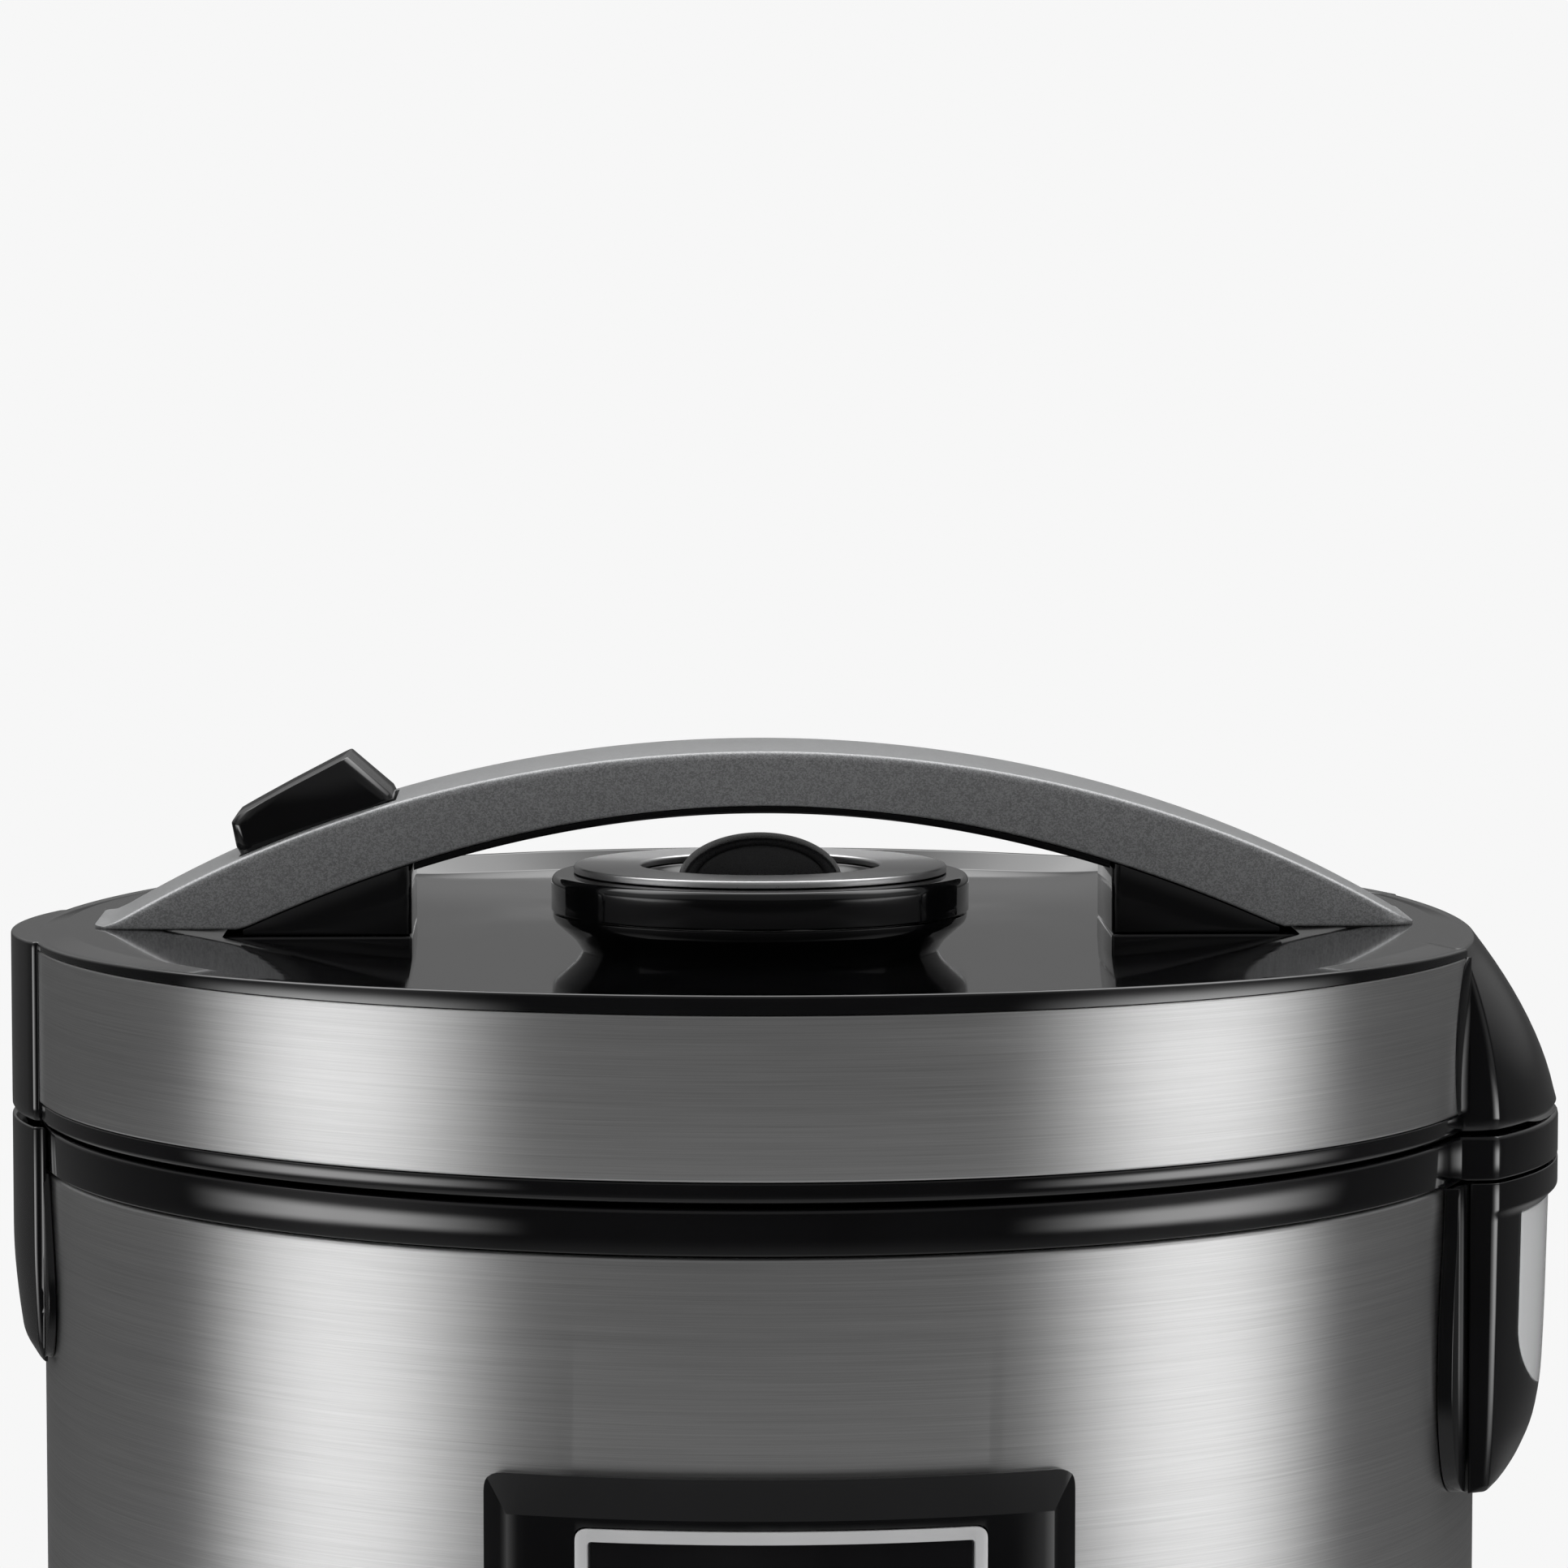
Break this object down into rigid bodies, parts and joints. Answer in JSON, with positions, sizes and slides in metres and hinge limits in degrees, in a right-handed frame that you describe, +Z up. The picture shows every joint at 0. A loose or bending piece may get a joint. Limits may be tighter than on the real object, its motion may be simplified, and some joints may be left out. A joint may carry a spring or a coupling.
{
  "type": "rice cooker",
  "caption": "Round steel drum rice cooker with a hinged lid, arched carrying handle, twist-off steam vent, release button, side condensate cup and front control panel.",
  "frame": {"origin": "centre of the overall footprint, on the surface that the feet stand on", "axes": "+X towards the lid hinge and condensate cup, -Y the control panel side, +Z up"},
  "size_m": [0.29, 0.276, 0.2661],
  "materials": {
    "brushed_steel": "stainless sheet brushed around the drum",
    "gloss_black": "high-gloss black moulding",
    "matte_black": "plain moulded black",
    "key_black": "satin black push keys",
    "silver_paint": "metallic silver-grey paint on a plastic arch",
    "bright_trim": "bright satin trim",
    "display_glass": "smoked display window",
    "clear_plastic": "clear moulded cup",
    "aluminium": "bare spun and cast aluminium",
    "pot_coating": "dark non-stick coating",
    "spring_steel": "bare steel",
    "foot_rubber": "soft dark rubber",
    "silicone": "milky silicone seal",
    "circuit_board": "green circuit board with its components",
    "brass": "plated contact pins"
  },
  "bodies": {
    "base": {"steel_body": "brushed_steel", "body_upper_ring": "gloss_black", "latch_housing": "gloss_black", "latch_keeper": "spring_steel", "hinge_flange": "gloss_black", "hinge_housing": "gloss_black", "drain_spout": "matte_black", "hinge_pin": "spring_steel", "hinge_spring": "spring_steel", "inner_can": "aluminium", "inner_pot": "pot_coating", "heating_plate": "aluminium", "sensor_bracket": "spring_steel", "sensor_spring": "spring_steel", "main_pcb": "circuit_board", "display_pcb": "circuit_board", "base_plate": "matte_black", "base_ring": "gloss_black", "foot_1": "foot_rubber", "foot_2": "foot_rubber", "foot_3": "foot_rubber", "foot_4": "foot_rubber", "base_screw_1": "spring_steel", "base_screw_2": "spring_steel", "base_screw_3": "spring_steel", "power_inlet": "matte_black", "inlet_pin_1": "brass", "inlet_pin_2": "brass", "inlet_pin_3": "brass", "panel_bezel": "gloss_black", "panel_frame": "bright_trim", "panel_glass": "display_glass"},
    "lid": {"lid_top_cover": "gloss_black", "lid_band_front": "brushed_steel", "lid_band_rear": "brushed_steel", "lid_lower_ring": "gloss_black", "lid_inner_liner": "matte_black", "inner_lid_plate": "aluminium", "inner_lid_grommet": "silicone", "lid_gasket": "silicone", "handle_shell": "silver_paint", "handle_liner": "gloss_black", "handle_support_left": "gloss_black", "handle_support_right": "gloss_black", "vent_base": "gloss_black", "latch_pin": "spring_steel", "latch_spring": "spring_steel"},
    "vent": {"vent_cap": "gloss_black", "vent_trim_ring": "bright_trim"},
    "release_button": {"release_button": "gloss_black"},
    "latch_hook": {"latch_hook": "matte_black"},
    "condensate_cup": {"condensate_cup": "clear_plastic"},
    "sensor": {"sensor_cup": "aluminium"},
    "key_upper_left": {"key_upper_left": "key_black"},
    "key_upper_right": {"key_upper_right": "key_black"},
    "key_lower_left": {"key_lower_left": "key_black"},
    "key_lower_right": {"key_lower_right": "key_black"},
    "key_start": {"key_start": "key_black"}
  },
  "joints": [
    {"name": "lid_hinge", "type": "hinge", "parent": "base", "child": "lid", "pos_m": [0.1364, 0.002, 0.2042], "axis": [0, 1, 0], "range_deg": [0, 85]},
    {"name": "vent_twist", "type": "hinge", "parent": "lid", "child": "vent", "pos_m": [-0.005, 0.002, 0.235], "axis": [0, 0, 1], "range_deg": [0, 45]},
    {"name": "release_press", "type": "slide", "parent": "lid", "child": "release_button", "axis": [0.4648, 0, -0.8854], "range_m": [0, 0.003], "stiffness_N_per_m": 600, "springref_m": -0.002},
    {"name": "latch_turn", "type": "hinge", "parent": "lid", "child": "latch_hook", "pos_m": [-0.129, 0.002, 0.219], "axis": [0, 1, 0], "range_deg": [0, 4.5], "deforming": ["latch_spring"]},
    {"name": "cup_slide", "type": "slide", "parent": "base", "child": "condensate_cup", "axis": [1, 0, 0], "range_m": [0, 0.04]},
    {"name": "sensor_press", "type": "slide", "parent": "base", "child": "sensor", "axis": [0, 0, 1], "range_m": [-0.0025, 0], "stiffness_N_per_m": 300, "springref_m": 0.004, "deforming": ["sensor_spring"]},
    {"name": "key_upper_left_press", "type": "slide", "parent": "base", "child": "key_upper_left", "axis": [0.1175, 0.9931, 0], "range_m": [0, 0.001], "stiffness_N_per_m": 900, "springref_m": -0.001},
    {"name": "key_upper_right_press", "type": "slide", "parent": "base", "child": "key_upper_right", "axis": [-0.1175, 0.9931, 0], "range_m": [0, 0.001], "stiffness_N_per_m": 900, "springref_m": -0.001},
    {"name": "key_lower_left_press", "type": "slide", "parent": "base", "child": "key_lower_left", "axis": [0.1175, 0.9931, 0], "range_m": [0, 0.001], "stiffness_N_per_m": 900, "springref_m": -0.001},
    {"name": "key_lower_right_press", "type": "slide", "parent": "base", "child": "key_lower_right", "axis": [-0.1175, 0.9931, 0], "range_m": [0, 0.001], "stiffness_N_per_m": 900, "springref_m": -0.001},
    {"name": "key_start_press", "type": "slide", "parent": "base", "child": "key_start", "axis": [0, 1, 0], "range_m": [0, 0.001], "stiffness_N_per_m": 900, "springref_m": -0.001}
  ],
  "couplings": [
    {"joint": "latch_turn", "follows": "release_press", "rad_per_m": 25}
  ]
}
